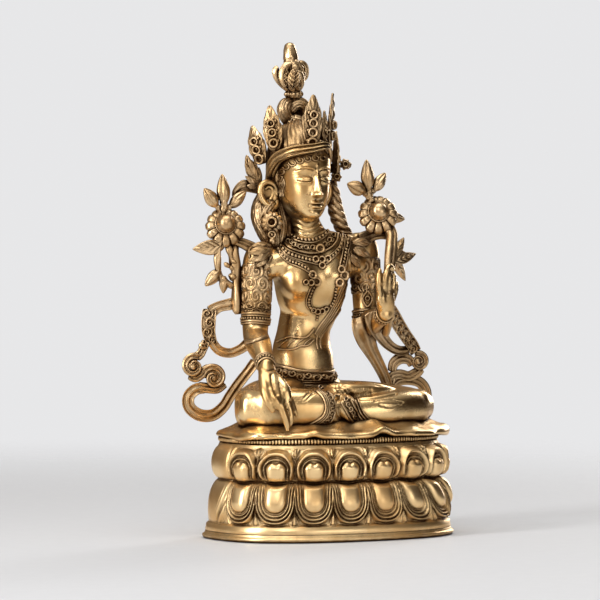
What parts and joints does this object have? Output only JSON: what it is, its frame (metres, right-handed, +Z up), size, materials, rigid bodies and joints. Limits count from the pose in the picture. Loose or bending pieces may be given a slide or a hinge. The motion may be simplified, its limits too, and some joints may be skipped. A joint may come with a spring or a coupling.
{
  "type": "seated tara figure on a double lotus plinth",
  "caption": "Cast brass tara figure seated in lotus posture with crown, scarves and lotus sprays, on an oval double lotus plinth with a beaded rim.",
  "frame": {"origin": "on the flat underside of the plinth, on the middle line between its ends", "axes": "+Z up, the figure faces -Y, its right side is at -X"},
  "size_m": [0.1843, 0.104, 0.3183],
  "materials": {
    "figure_brass": "cast brass, polished on the high parts, dark brown patina in the hollows",
    "plinth_brass": "cast brass, polished petals and foot, dark brown patina between them"
  },
  "bodies": {
    "root": {"tara_figure": "figure_brass", "lotus_plinth": "plinth_brass"}
  },
  "joints": []
}
